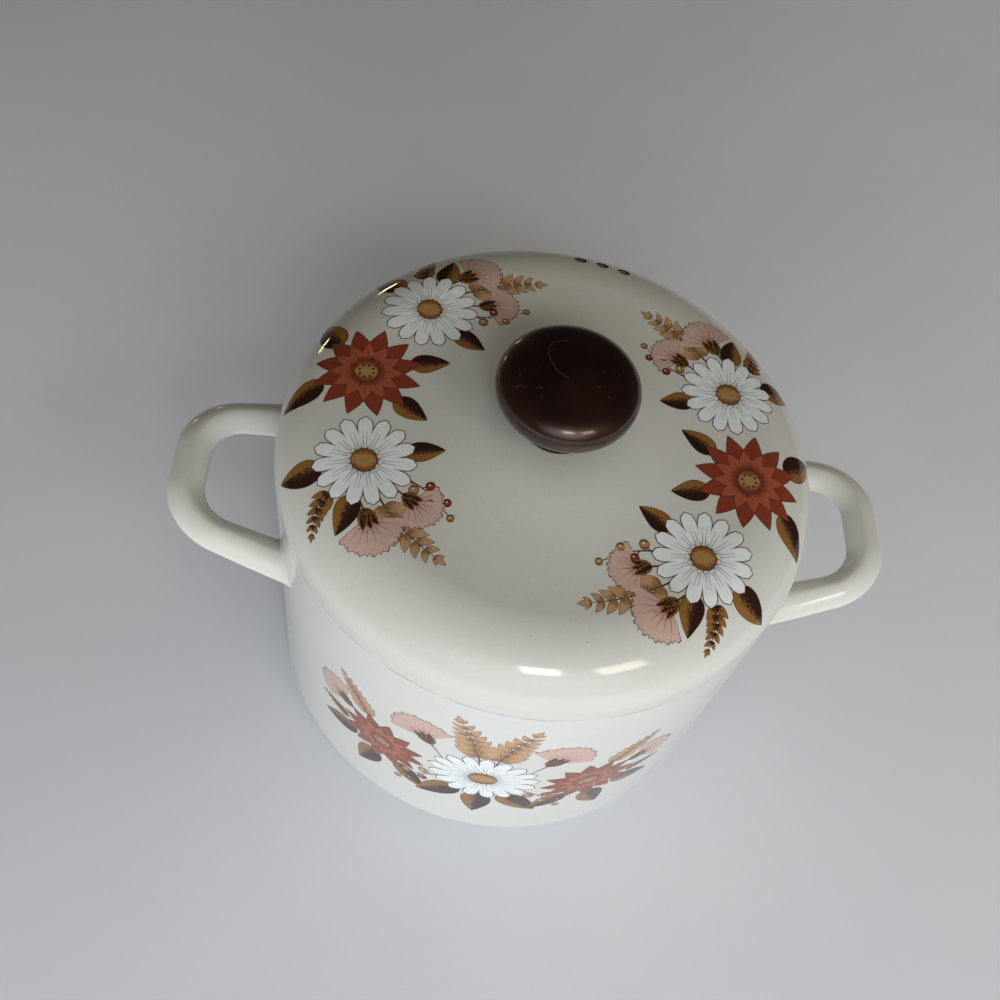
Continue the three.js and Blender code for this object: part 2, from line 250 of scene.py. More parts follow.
def screw_section():
    """A domed head below a straight shank that ends in a chamfer."""
    radius, edge, crown = SCREW_HEAD
    tip = KNOB_Z + INSERT_LENGTH - SCREW_SETBACK
    shank = np.arange(HEAD_TOP, tip - SCREW_CHAMFER, THREAD[0] / 8)
    return np.vstack((
        arc((0, HEAD_TOP - edge), (radius, crown), -90, 0, 16),
        corner((radius - HEAD_EDGE, HEAD_TOP - HEAD_EDGE), HEAD_EDGE, 0, 90, 4),
        np.column_stack((np.full(len(shank), SCREW_RADIUS), shank)),
        [(SCREW_RADIUS, tip - SCREW_CHAMFER), (SCREW_RADIUS - SCREW_CHAMFER, tip), (0, tip)],
    ))


# Meshes

def finer(section):
    """The section with its long straight runs divided; runs along the axis stay whole."""
    runs = []
    for start, stop in zip(section, np.roll(section, -1, axis=0)):
        off_axis = max(start[0], stop[0]) > MM
        length = np.linalg.norm(stop - start) if off_axis else 0
        count = max(math.ceil(length / LONGEST_STEP), 1)
        runs.append(start + (stop - start) * np.arange(count)[:, None] / count)
    return np.vstack(runs)


def made(name, points, faces, finish):
    """A piece from points in millimetres."""
    mesh = bpy.data.meshes.new(name)
    mesh.from_pydata((np.asarray(points, float) * MM).tolist(), [], faces)
    return tidied(name, mesh, finish)


def tidied(name, mesh, *finishes):
    """A piece from a mesh, welded, facing out and smooth but for its sharp edges."""
    work = bmesh.new()
    work.from_mesh(mesh)
    bmesh.ops.remove_doubles(work, verts=work.verts, dist=WELD)
    bmesh.ops.dissolve_degenerate(work, edges=work.edges, dist=WELD)
    loose = [edge for edge in work.edges if not edge.link_faces]
    bmesh.ops.delete(work, geom=loose, context="EDGES")
    bmesh.ops.recalc_face_normals(work, faces=work.faces)
    work.to_mesh(mesh)
    work.free()
    mesh.shade_smooth()
    mesh.set_sharp_from_angle(angle=SHARP_EDGE)
    for finish in finishes:
        mesh.materials.append(finish.material)
    piece = bpy.data.objects.new(name, mesh)
    bpy.context.scene.collection.objects.link(piece)
    return piece


def turned(name, section, finish, segments=TURN_SEGMENTS, turn=0.0):
    """A closed section turned about the Z axis."""
    section = finer(np.asarray(section, float))
    angle = turn + np.arange(segments) * math.tau / segments
    points = np.stack((
        np.outer(section[:, 0], np.cos(angle)),
        np.outer(section[:, 0], np.sin(angle)),
        np.repeat(section[:, 1:], segments, axis=1),
    ), axis=2)
    row, column = np.meshgrid(np.arange(len(section)), np.arange(segments), indexing="ij")
    above, beside = (row + 1) % len(section), (column + 1) % segments
    faces = [row * segments + column, row * segments + beside]
    faces += [above * segments + beside, above * segments + column]
    faces = np.stack(faces, axis=2).reshape(-1, 4).tolist()
    return made(name, points.reshape(-1, 3), faces, finish)


def lofted(name, rings, finish):
    """A skin through rings of points, closed by a face at each end."""
    count = len(rings[0])
    last = (len(rings) - 1) * count
    faces = [tuple(range(count)), tuple(range(last + count - 1, last - 1, -1))]
    for low in range(0, last, count):
        for i in range(count):
            beside = (i + 1) % count
            faces.append((low + i, low + beside, low + count + beside, low + count + i))
    return made(name, np.vstack(rings), faces, finish)


def cut(piece, cutters):
    """Takes the cutters out of the piece; the cut faces keep the cutters' finish."""
    for cutter in cutters:
        modifier = piece.modifiers.new(cutter.name, "BOOLEAN")
        modifier.operation = "DIFFERENCE"
        modifier.solver = "EXACT"
        modifier.material_mode = "TRANSFER"
        modifier.object = cutter
    shaped = piece.evaluated_get(bpy.context.evaluated_depsgraph_get())
    piece.data = bpy.data.meshes.new_from_object(shaped)
    piece.modifiers.clear()
    for cutter in cutters:
        bpy.data.objects.remove(cutter)
    piece.data.set_sharp_from_angle(angle=SHARP_EDGE)


def vent_cutter(index, lip, bore):
    """A cutter for one steam vent, with a dark flared lip where the enamel rounds into it."""
    half = LID_WALL / 2
    mouth = VENT_RADIUS + VENT_FLARE
    flare = arc((mouth, -half), (VENT_FLARE, half), 90, 180, 12)
    upper = np.vstack(([(mouth + CUTTER_OVERRUN, CUTTER_OVERRUN)], flare))
    lower = upper[::-1] * (1, -1) - (0, LID_WALL)
    axis = [(0, -LID_WALL - CUTTER_OVERRUN), (0, CUTTER_OVERRUN)]
    section = np.vstack((upper, lower, axis))
    cutter = turned(f"vent_cutter_{index}", section, lip, SMALL_SEGMENTS)
    cutter.data.materials.append(bore.material)
    for face in cutter.data.polygons:
        face.material_index = int(face.center.z < -VENT_LIP * MM)
    place = arc(SHOULDER_CENTRE, SHOULDER, *[math.degrees(VENT_ANGLE)] * 2, 1)[0]
    normal = (math.cos(VENT_ANGLE) / SHOULDER[0], math.sin(VENT_ANGLE) / SHOULDER[1])
    spread = ((VENT_COUNT - 1) / 2 - index) * VENT_PITCH / place[0]
    turn = Matrix.Rotation(LID_TURN + math.pi / 2 + spread, 4, "Z")
    move = Matrix.Translation((place[0] * MM, 0, place[1] * MM))
    cutter.matrix_world = turn @ move @ Matrix.Rotation(math.atan2(*normal), 4, "Y")
    return cutter


def strap_section(width, swell):
    """The strap's arched channel as a closed loop, moved out by swell."""
    lip = STRAP_WALL / 2
    inside = (width / 2 - STRAP_WALL, STRAP_HEIGHT - STRAP_WALL)
    loop = np.vstack((
        arc((0, 0), (width / 2, STRAP_HEIGHT), 0, 180, 40, STRAP_ROUNDNESS),
        corner((lip - width / 2, 0), lip, 180, 360)[1:-1],
        arc((0, 0), inside, 180, 0, 40, STRAP_ROUNDNESS),
        corner((width / 2 - lip, 0), lip, 180, 360)[1:-1],
    ))
    along = np.roll(loop, -1, axis=0) - np.roll(loop, 1, axis=0)
    out = np.column_stack((along[:, 1], -along[:, 0]))
    return loop + swell * out / np.linalg.norm(out, axis=1, keepdims=True)


def strap(name, azimuth, finish):
    """A loop handle: the strap carried along its path and filleted onto the pot's wall."""
    reach = HANDLE_REACH - STRAP_WIDTH / 2
    slope = math.atan2((FOOT_SPREAD - END_SPREAD) / 2, reach)
    bend_turn = math.pi / 2 - slope
    bend_across = END_SPREAD / 2 - BEND_RADIUS * math.tan(bend_turn / 2)
    bend = np.array((reach - BEND_RADIUS, bend_across))
    leg = np.array((math.cos(slope), -math.sin(slope)))
    leg_end = bend + BEND_RADIUS * np.array((math.sin(slope), math.cos(slope)))
    foot = leg_end - leg * leg_end[0] / leg[0]
    tilt = np.array(Matrix.Rotation(-HANDLE_RISE, 3, "Y"))
    lean = tilt @ np.append(leg, 0)

    def ring(at, heading, swell=0.0):
        flare = min(max(1 - at[0] / leg_end[0], 0), 1)
        loop = strap_section(STRAP_WIDTH + (STRAP_FOOT - STRAP_WIDTH) * flare, swell)
        across = np.array((-math.sin(heading), math.cos(heading)))
        placed = np.hstack((at + loop[:, :1] * across, loop[:, 1:])) @ tilt.T
        return placed + (POT_RADIUS, 0, POT_HEIGHT - HANDLE_DROP)

    half = []
    for stand in FILLET_STANDS:
        rest = max(WELD_FILLET - max(stand, 0), 0)
        swell = WELD_FILLET - math.sqrt(WELD_FILLET ** 2 - rest ** 2)
        loop = ring(foot, -slope, FILLET_SWELL * swell)
        square = lean[0] ** 2 + lean[1] ** 2
        cross = loop[:, 0] * lean[0] + loop[:, 1] * lean[1]
        gap = loop[:, 0] ** 2 + loop[:, 1] ** 2 - (POT_RADIUS + stand) ** 2
        far = (np.sqrt(cross ** 2 - square * gap) - cross) / square
        half.append(loop + far[:, None] * lean)
    for share in np.linspace(0.35, 1, 6)[:-1]:
        half.append(ring(foot + (leg_end - foot) * share, -slope))
    for share in np.linspace(0, 1, 25):
        heading = -slope - bend_turn * share
        side = np.array((-math.sin(heading), math.cos(heading)))
        half.append(ring(bend + BEND_RADIUS * side, heading))
    turn = np.array(Matrix.Rotation(azimuth, 3, "Z"))
    rings = half + [loop * (1, -1, 1) for loop in half[::-1]]
    return lofted(name, [loop @ turn.T for loop in rings], finish)


def spring_ring(name, finish):
    """A split washer whose two ends stand a little apart in height."""
    low, high = SPRING_TOP - SPRING_WASHER[1] + SPRING_TWIST, SPRING_TOP - SPRING_TWIST
    section = ring_section(SCREW_HOLE, SPRING_WASHER[0], low, high)
    rings = []
    for share in np.linspace(0, 1, 73):
        angle = LID_TURN + SPRING_SLIT / 2 + (math.tau - SPRING_SLIT) * share
        flat = section[:, :1] * (math.cos(angle), math.sin(angle))
        rings.append(np.hstack((flat, section[:, 1:] + SPRING_TWIST * (2 * share - 1))))
    return lofted(name, rings, finish)


def screw(name, finish):
    """The knob's screw, with a helical thread above its slotted head."""
    piece = turned(name, screw_section(), finish, SCREW_SEGMENTS)
    pitch, depth = THREAD
    for vertex in piece.data.vertices:
        x, y, z = vertex.co / MM
        radius = math.hypot(x, y)
        if z > HEAD_TOP + pitch and radius > SCREW_RADIUS - 0.01:
            phase = (z / pitch - math.atan2(y, x) / math.tau) % 1
            vertex.co.xy *= 1 - depth * abs(2 * phase - 1) / radius
    width, deep = SCREW_SLOT
    low = HEAD_TOP - SCREW_HEAD[1] - SCREW_HEAD[2]
    wide = SCREW_HEAD[0] + CUTTER_OVERRUN
    box = [(-wide, -width / 2), (wide, -width / 2), (wide, width / 2), (-wide, width / 2)]
    box = np.array(box) @ np.array(Matrix.Rotation(LID_TURN, 2)).T
    rings = [np.column_stack((box, np.full(4, z))) for z in (low - deep, low + deep)]
    cut(piece, [lofted("slot_cutter", rings, finish)])
    return piece


# Finishes

class Value:
    """A shader socket that takes part in Python expressions by adding Math nodes."""

    def __init__(self, wiring, socket):
        self.wiring = wiring
        self.socket = socket

    def maths(self, operation, *values):
        sockets = dict(enumerate(values))
        return self.wiring.node("ShaderNodeMath", {"operation": operation}, sockets)

    def __add__(self, other):
        return self.maths("ADD", self, other)

    def __sub__(self, other):
        return self.maths("SUBTRACT", self, other)

    def __rsub__(self, other):
        return self.maths("SUBTRACT", other, self)

    def __mul__(self, other):
        return self.maths("MULTIPLY", self, other)

    def __gt__(self, other):
        return self.maths("GREATER_THAN", self, other)

    def __lt__(self, other):
        return self.maths("LESS_THAN", self, other)

    def __abs__(self):
        return self.maths("ABSOLUTE", self)

    __radd__ = __add__
    __rmul__ = __mul__


class Wiring:
    """A node tree, and the nodes that are added to it."""

    def __init__(self, tree):
        self.tree = tree

    def feed(self, socket, value):
        if isinstance(value, Value):
            self.tree.links.new(value.socket, socket)
        elif socket.type == "RGBA":
            socket.default_value = (*value, 1)
        else:
            socket.default_value = value

    def node(self, kind, settings=None, sockets=None, output=0):
        made_node = self.tree.nodes.new(kind)
        for name, value in (settings or {}).items():
            setattr(made_node, name, value)
        for name, value in (sockets or {}).items():
            self.feed(made_node.inputs[name], value)
        return Value(self, made_node.outputs[output])

    def band(self, value, low, high):
        """0 where value is under low, 1 over high, and smooth between; low may be higher."""
        sockets = {"Value": value, "From Min": low, "From Max": high}
        return self.node("ShaderNodeMapRange", {"interpolation_type": "SMOOTHSTEP"}, sockets)


class Finish(Wiring):
    """A procedural material: one Principled shader and the nodes that feed it."""

    def __init__(self, name, **sockets):
        self.material = bpy.data.materials.new(name)
        self.material.use_nodes = True
        super().__init__(self.material.node_tree)
        self.shader = self.tree.nodes["Principled BSDF"]
        self.place = self.node("ShaderNodeTexCoord", output="Object")
        self.set(**sockets)

    def set(self, **sockets):
        for name, value in sockets.items():
            self.feed(self.shader.inputs[name.replace("_", " ")], value)

    def noise(self, scale, detail=2.0):
        sockets = {"Vector": self.place, "Scale": scale, "Detail": detail}
        return self.node("ShaderNodeTexNoise", {}, sockets)

    def cells(self, scale, output):
        sockets = {"Vector": self.place, "Scale": scale}
        return self.node("ShaderNodeTexVoronoi", {}, sockets, output)

    def specks(self, scale, radius, share):
        """Small round spots in a share of a cell pattern's cells."""
        colour = self.cells(scale, "Color")
        picked = self.node("ShaderNodeSeparateColor", {}, {0: colour}, "Red") < share
        return self.band(self.cells(scale, "Distance"), radius, 0.5 * radius) * picked

    def blend(self, factor, first, second):
        """A colour between two others."""
        sockets = {0: factor, 6: first, 7: second}
        return self.node("ShaderNodeMix", {"data_type": "RGBA"}, sockets, 2)

    def height(self):
        """How high the surface lies, in millimetres."""
        return self.node("ShaderNodeSeparateXYZ", {}, {0: self.place}, "Z") * (1 / MM)

    def bump(self, rise):
        """Relief of so many millimetres."""
        self.set(Normal=self.node("ShaderNodeBump", {}, {"Distance": MM, "Height": rise}))


def tinted(colour, *shares):
    return tuple(part * share for part, share in zip(colour, shares))


def glaze(finish):
    """The gloss that enamel and print share: a faint orange peel over a slow ripple."""
    finish.set(Roughness=0.045 + 0.05 * finish.noise(60, 3.0), IOR=1.52)
    finish.bump(finish.noise(38, 1.0) * 0.05 + finish.noise(330, 1.5) * 0.0035)


def enamel(name, colour, seam=None):
    """Ivory vitreous enamel: clouded, finely freckled and greyed in patches by painted shade
    along the seam.
    """
    finish = Finish(name)
    cloud = finish.band(finish.noise(17, 3.0), 0.3, 0.7)
    tone = finish.blend(cloud, colour, tinted(colour, 0.97, 0.965, 0.94))
    grain = finish.band(finish.noise(900, 2.0), 0.55, 0.8)
    tone = finish.blend(grain * 0.12, tone, FRECKLE)
    tone = finish.blend(finish.specks(250, 0.085, 0.3) * 0.45, tone, FRECKLE)
    if seam is not None:
        # Painted shade: the enamel greys in patches within 0.8 mm of the seam's height.
        seam_shade = finish.band(abs(finish.height() - seam), 0.8, 0.1)
        seam_shade = seam_shade * finish.band(finish.noise(90, 3.0), 0.35, 0.6)
        tone = finish.blend(seam_shade * 0.4, tone, SEAM_SHADE_GREY)
    finish.set(Base_Color=tone)
    glaze(finish)
    return finish


def ground_coat(name):
    """The dark first coat that shows where the enamel thins round a hole."""
    finish = Finish(name, IOR=1.2)
    cloud = finish.noise(700, 3.0)
    finish.set(Base_Color=finish.blend(cloud, (0.003, 0.003, 0.0025), (0.014, 0.012, 0.009)))
    finish.set(Roughness=0.55 + 0.3 * cloud)
    finish.bump(cloud * 0.03)
    return finish


def ink(name, colour, deep, grain=0.5):
    """A screen-printed ink that breaks into dots of a deeper one where it is shaded."""
    finish = Finish(name)
    shade = finish.node("ShaderNodeAttribute", {"attribute_name": "shade"}, {}, "Fac")
    dotted = shade + (finish.noise(1500, 1.0) - 0.5) * grain
    thin = finish.band(finish.noise(420, 2.0), 0.35, 0.75)
    body = finish.blend(thin, colour, tinted(colour, 1.1, 1.1, 1.1))
    finish.set(Base_Color=finish.blend(finish.band(dotted, 0.38, 0.62), body, deep))
    glaze(finish)
    return finish


def phenolic(name):
    """Polished dark brown moulding, dusted with tiny nicks and dulled in patches."""
    finish = Finish(name, IOR=1.65, Specular_Tint=(1, 0.6, 0.46))
    finish.set(Coat_Weight=0.6, Coat_Roughness=0.1)
    cloud = finish.band(finish.noise(55, 4.0), 0.35, 0.7)
    tone = finish.blend(cloud, PHENOLIC, PHENOLIC_WARM)
    nicks = finish.specks(420, 0.09, 0.16)
    finish.set(Base_Color=finish.blend(nicks * 0.5, tone, SCRATCH))
    finish.set(Roughness=0.33 + 0.1 * cloud + 0.2 * nicks)
    finish.bump(finish.noise(120, 2.0) * 0.008 - nicks * 0.01)
    return finish


def metal(name, colour):
    """Turned metal with fine tool marks and a dulled film."""
    finish = Finish(name, Metallic=1.0)
    film = finish.noise(300, 3.0)
    dull = tinted(colour, 0.6, 0.6, 0.6)
    finish.set(Base_Color=finish.blend(finish.band(film, 0.35, 0.75), colour, dull))
    finish.set(Roughness=0.25 + 0.2 * film)
    finish.bump(finish.noise(600, 2.0) * 0.02)
    return finish


def fibre(name):
    """Pressed red-brown fibre board, matt and fine-grained."""
    finish = Finish(name)
    grain = finish.noise(900, 4.0)
    finish.set(Base_Color=finish.blend(grain, (0.09, 0.03, 0.02), (0.2, 0.075, 0.045)))
    finish.set(Roughness=0.7 + 0.2 * grain)
    finish.bump(grain * 0.05)
    return finish


def pale_floor(name):
    """A plain matt floor with faint clouds."""
    finish = Finish(name, Roughness=0.75, Specular_IOR_Level=0.0)
    cloud = finish.band(finish.noise(5, 4.0), 0.3, 0.7)
    finish.set(Base_Color=finish.blend(cloud, (0.74, 0.755, 0.815), (0.78, 0.79, 0.845)))
    return finish


IVORY = (0.64, 0.638, 0.59)
POT_IVORY = (0.66, 0.66, 0.63)
# The handles' ivory is lighter than the lid's, as painted light on the handles.
HANDLE_IVORY = (0.685, 0.68, 0.63)
FRECKLE = (0.25, 0.22, 0.17)
# The grey of the painted shade along the seam.
SEAM_SHADE_GREY = (0.2, 0.185, 0.155)
PHENOLIC = (0.008, 0.0028, 0.0024)
PHENOLIC_WARM = (0.0145, 0.0052, 0.0038)
SCRATCH = (0.2, 0.14, 0.11)
BRASS = (0.48, 0.29, 0.085)
ZINC = (0.42, 0.43, 0.44)

pot_enamel = enamel("pot_enamel", POT_IVORY, POT_HEIGHT)
lid_enamel = enamel("lid_enamel", IVORY, SEAT)
handle_enamel = enamel("handle_enamel", HANDLE_IVORY)
vent_ground_coat = ground_coat("vent_ground_coat")
knob_phenolic = phenolic("knob_phenolic")
insert_brass = metal("insert_brass", BRASS)
fastener_zinc = metal("fastener_zinc", ZINC)
washer_fibre = fibre("washer_fibre")

INKS = {
    "outline": ink("ink_outline", (0.085, 0.034, 0.024), (0.045, 0.018, 0.012)),
    "rust": ink("ink_rust", (0.235, 0.044, 0.021), (0.11, 0.02, 0.011)),
    "coral": ink("ink_coral", (0.36, 0.09, 0.046), (0.2, 0.038, 0.019)),
    "white": ink("ink_white", (0.76, 0.79, 0.8), (0.45, 0.43, 0.4), 0.9),
    "pink": ink("ink_pink", (0.56, 0.385, 0.325), (0.45, 0.2, 0.155), 0.8),
    "ochre": ink("ink_ochre", (0.39, 0.22, 0.082), (0.2, 0.085, 0.025), 0.9),
    "tan": ink("ink_tan", (0.48, 0.29, 0.15), (0.28, 0.14, 0.055), 0.8),
    "brown": ink("ink_brown", (0.25, 0.115, 0.03), (0.03, 0.0125, 0.008), 0.9),
    "scratch": ink("knob_scratch", (0.1, 0.072, 0.06), (0.03, 0.017, 0.014), 1.2),
}
INK_ORDER = list(INKS)


# Printed sprays: motifs drawn in a flat plan in millimetres, then laid on the enamel

PRINT_SINK = 0.05
PRINT_BASE = 0.02
PRINT_LAYER = 0.012
RIM = 0.4
MID_RIM = 0.3
FINE_RIM = 0.25
TUCK = 0.8


def direction(heading):
    return np.array((math.cos(math.radians(heading)), math.sin(math.radians(heading))))


def oval(u):
    return 2 * np.sqrt(np.clip(u * (1 - u), 0, None))


def pointed(u):
    return np.sin(math.pi * u ** 0.8) ** 0.9


def round_tip(u):
    return 1.2 * u ** 0.55 * np.sqrt(np.clip(1 - u ** 5, 0, None))


def fan(u):
    return 0.14 + 0.86 * u ** 0.85


def ovate(u):
    return np.sin(math.pi * u ** 0.68).clip(0) ** 0.85


def taper(u):
    return 1 - 0.7 * u


def dark_base(u, v):
    return 0.85 * (1 - u) ** 1.4 + 0 * v


def faint_base(u, v):
    return 0.75 * (1 - u) ** 3 + 0 * v


def dark_edge(u, v):
    return 0.8 * abs(v) + 0 * u


def dark_middle(u, v):
    return 0.9 - 0.6 * abs(v) + 0 * u


def dark_half(u, v):
    return 0.62 + 0.62 * v + 0 * u


def plain(u, v):
    return 0 * u * v


class Print:
    """Motifs on one surface, each a thin closed skin in one ink."""

    def __init__(self, lay):
        self.lay = lay
        self.points, self.shades, self.faces, self.inks = [], [], [], []
        self.count = 0

    def skin(self, plan, tone, layer, shade):
        rows, columns = plan.shape[:2]
        flat = plan.reshape(-1, 2)
        size = len(flat)
        top = self.lay(flat, PRINT_BASE + layer * PRINT_LAYER)
        self.points += [top, self.lay(flat, -PRINT_SINK)]
        self.shades += [shade.ravel(), shade.ravel()]
        index = self.count + np.arange(size).reshape(rows, columns)
        quads = (index[:-1, :-1], index[1:, :-1], index[1:, 1:], index[:-1, 1:])
        quads = np.stack(quads, axis=2).reshape(-1, 4)
        edge = (index[0, :-1], index[:-1, -1], index[-1, :0:-1], index[:0:-1, 0])
        edge = np.concatenate(edge)
        after = np.roll(edge, -1)
        wall = np.column_stack((edge, after, after + size, edge + size))
        self.faces += [quads, quads[:, ::-1] + size, wall]
        self.inks += [INK_ORDER.index(tone)] * (2 * len(quads) + len(wall))
        self.count += 2 * size

    def blade(self, at, heading, length, width, form, tone, layer, bend=0.0, rim=0.0,
              shade=plain, rows=10, columns=4, fringe=0.0):
        """A petal, leaf or stem that starts at a point and runs along a heading."""
        if rim:
            back = np.array(at) - rim * direction(heading)
            self.blade(back, heading, length + 2 * rim, width + 2 * rim, form, "outline",
                       layer - 1, bend, 0.0, plain, rows, columns, fringe)
        u, v = np.linspace(0, 1, rows + 1), np.linspace(-1, 1, columns + 1)
        turn = np.radians(heading + bend * u)
        ahead = np.column_stack((np.cos(turn), np.sin(turn)))
        across = np.column_stack((-np.sin(turn), np.cos(turn)))
        run = np.cumsum((ahead[1:] + ahead[:-1]) / 2, axis=0)
        spine = np.array(at) + np.vstack(([(0, 0)], run)) * length / rows
        half = width / 2 * form(u)
        plan = spine[:, None] + across[:, None] * (half[:, None] * v)[..., None]
        wave = fringe * length * u[:, None] ** 3 * np.cos(3 * math.pi * v)
        plan = plan + ahead[:, None] * wave[..., None]
        self.skin(plan, tone, layer, shade(u[:, None], v[None]))

    def dot(self, at, radius, tone, layer, rim=0.0, shade=plain, rows=8, columns=4):
        start = np.array(at) - (radius, 0)
        self.blade(start, 0, 2 * radius, 2 * radius, oval, tone, layer, 0.0, rim, shade,
                   rows, columns)

    def line(self, at, heading, length, width, layer, bend=0.0, rows=8, tone="outline"):
        self.blade(at, heading, length, width, taper, tone, layer, bend, rows=rows, columns=1)

    def dahlia(self, at, radius, turn=0.0):
        """Two rings of pointed petals round a dotted heart."""
        for ring, (reach, tone, layer) in enumerate(((1.0, "rust", 5), (0.66, "coral", 7))):
            for heading in turn + 30 * np.arange(12) + 15 * ring:
                start = at + 0.16 * radius * direction(heading)
                length = (reach - 0.16) * radius
                self.blade(start, heading, length, 0.36 * reach * radius, pointed, tone,
                           layer, rim=RIM, shade=dark_base)
                rib = start + 0.2 * length * direction(heading)
                self.line(rib, heading, 0.5 * length, 0.26, layer + 0.6)
        self.dot(at, 0.22 * radius, "ochre", 9, RIM, dark_edge)
        for heading in turn + 45 * np.arange(8):
            seed = at + 0.13 * radius * direction(heading)
            self.dot(seed, 0.028 * radius, "outline", 10, rows=4, columns=2)

    def marguerite(self, at, radius, turn=0.0, petals=15):
        """Slender white rays round a button."""
        length = 0.8 * radius
        for heading in turn + 360 / petals * np.arange(petals):
            start = at + 0.2 * radius * direction(heading)
            self.blade(start, heading, length, 0.31 * radius * 15 / petals, round_tip,
                       "white", 5, rim=RIM, shade=faint_base)
            for side in (-1, 1):
                fold = start + 0.16 * length * direction(heading + 12 * side)
                self.line(fold, heading + 2 * side, 0.42 * length, 0.24, 5.6)
        self.dot(at, 0.25 * radius, "ochre", 7, RIM, dark_edge)
        for heading in turn + 30 * np.arange(12):
            seed = at + 0.19 * radius * direction(heading)
            self.dot(seed, 0.022 * radius, "brown", 8, rows=4, columns=2)

    def pinkling(self, at, heading, size):
        """A fringed blossom seen from the side, in its cup on a short stem."""
        for spread in (-58, 58, -39, 39, -20, 20, 0):
            layer = 5.0 - abs(spread) / 30
            length = size * (1 - abs(spread) / 500)
            self.blade(at, heading + spread, length, 0.46 * size, fan, "pink", layer,
                       rim=MID_RIM, shade=dark_base, fringe=0.045, columns=8)
            rib = at + 0.3 * size * direction(heading + spread)
            self.line(rib, heading + spread, 0.4 * size, 0.24, layer + 0.5)
        base = at - 0.34 * size * direction(heading)
        for spread in (-20, 20, 0):
            self.blade(base, heading + spread, 0.62 * size, 0.26 * size, pointed, "brown",
                       6.5, rim=FINE_RIM, shade=dark_middle)
        self.line(base, heading + 180, 0.75 * size, 0.8, 2)

    def fern(self, at, heading, length, bend, pairs=7, tone="tan"):
        """A bent rib with pairs of leaflets that shorten to its tip."""
        self.line(at, heading, length, 0.8, 2, bend, 16)
        place, before = np.array(at, float), 0
        for share in np.arange(1, pairs + 1) / (pairs + 0.6):
            turn = heading + bend * (share + before) / 2
            place = place + (share - before) * length * direction(turn)
            size = 0.33 * length * (1 - share) ** 0.5
            for side in (-1, 1):
                self.blade(place, turn + 52 * side, size, 0.45 * size, ovate, tone, 2,
                           -14 * side, FINE_RIM, dark_base, 8, 2)
            before = share
        self.blade(place, turn, 0.14 * length, 0.06 * length, ovate, tone, 2, rim=FINE_RIM,
                   rows=8, columns=2)

    def leaf(self, at, heading, length, width, bend=0.0):
        """A two-tone leaf with ribs, dark on one side."""
        self.blade(at, heading, length, width, ovate, "brown", 3, bend, MID_RIM, dark_half, 16,
                   8)
        self.line(at, heading, 0.95 * length, 0.5, 3.8, bend, 12)
        for share in (0.22, 0.38, 0.54, 0.7):
            turn = heading + bend * share
            root = at + share * length * direction(heading + bend * share / 2)
            for side in (-1, 1):
                rib = 0.36 * width * (1.15 - share)
                self.line(root, turn + 42 * side, rib, 0.3, 3.8, -12 * side, 4)

    def berries(self, at, heading, length, bend=0.0, count=5):
        """A bent stalk with round berries on short stems."""
        self.line(at, heading, length, 0.75, 2, bend, 12)
        place = np.array(at, float)
        for step in range(count):
            turn = heading + bend * (step + 0.7) / count
            place = place + length / count * direction(turn)
            lean = turn + (48 if step % 2 else -48) * (step < count - 1)
            self.line(place, lean, 0.16 * length, 0.5, 2, 0, 3)
            fruit = place + 0.16 * length * direction(lean)
            size = 0.08 * length * (1.1 - 0.08 * step)
            self.dot(fruit, size, "rust" if step % 2 else "ochre", 4, FINE_RIM, dark_edge)
            glint = fruit + 0.3 * size * direction(120)
            self.dot(glint, 0.2 * size, "white", 5, rows=4, columns=2)

    def piece(self, name):
        mesh = bpy.data.meshes.new(name)
        faces = np.vstack(self.faces).tolist()
        mesh.from_pydata((np.vstack(self.points) * MM).tolist(), [], faces)
        shade = mesh.attributes.new("shade", "FLOAT", "POINT")
        shade.data.foreach_set("value", np.concatenate(self.shades))
        used, index = np.unique(self.inks, return_inverse=True)
        mesh.polygons.foreach_set("material_index", index)
        return tidied(name, mesh, *[INKS[INK_ORDER[number]] for number in used])


LID_PATH = np.vstack(([(0, KNOB_SEAT[1])], lid_line(0)[::-1]))
LID_RUN = np.cumsum(np.linalg.norm(np.diff(LID_PATH, axis=0, prepend=LID_PATH[:1]), axis=1))
LID_SLOPE = np.arctan2(*np.gradient(LID_PATH, LID_RUN, axis=0).T[::-1])


def lay_on_lid(flat, height):
    """Plan points round the lid's axis, by their distance along the dome."""
    run = np.hypot(flat[:, 0], flat[:, 1])
    slope = np.interp(run, LID_RUN, LID_SLOPE)
    radius = np.interp(run, LID_RUN, LID_PATH[:, 0]) - height * np.sin(slope)
    rise = np.interp(run, LID_RUN, LID_PATH[:, 1]) + height * np.cos(slope)
    return np.column_stack((flat * (radius / run)[:, None], rise))


def lay_on_pot(flat, height):
    """Plan points as a distance round the wall from its front, and a height."""
    angle = flat[:, 0] / POT_RADIUS - math.pi / 2
    radius = POT_RADIUS + height
    return np.column_stack((radius * np.cos(angle), radius * np.sin(angle), flat[:, 1]))


KNOB_TOP = arc((0, KNOB_Z + KNOB_RIM), (KNOB_RADIUS, KNOB_HEIGHT - KNOB_RIM), 90, 0, 64,
               KNOB_ROUNDNESS)


def lay_on_knob(flat, height):
    """Plan points seen from above the knob."""
    rise = np.interp(np.hypot(flat[:, 0], flat[:, 1]), KNOB_TOP[:, 0], KNOB_TOP[:, 1])
    return np.column_stack((flat, rise + height))


def tucked(centre, radius, heading):
    """A start point under a flower's petals."""
    return centre + TUCK * radius * direction(heading)


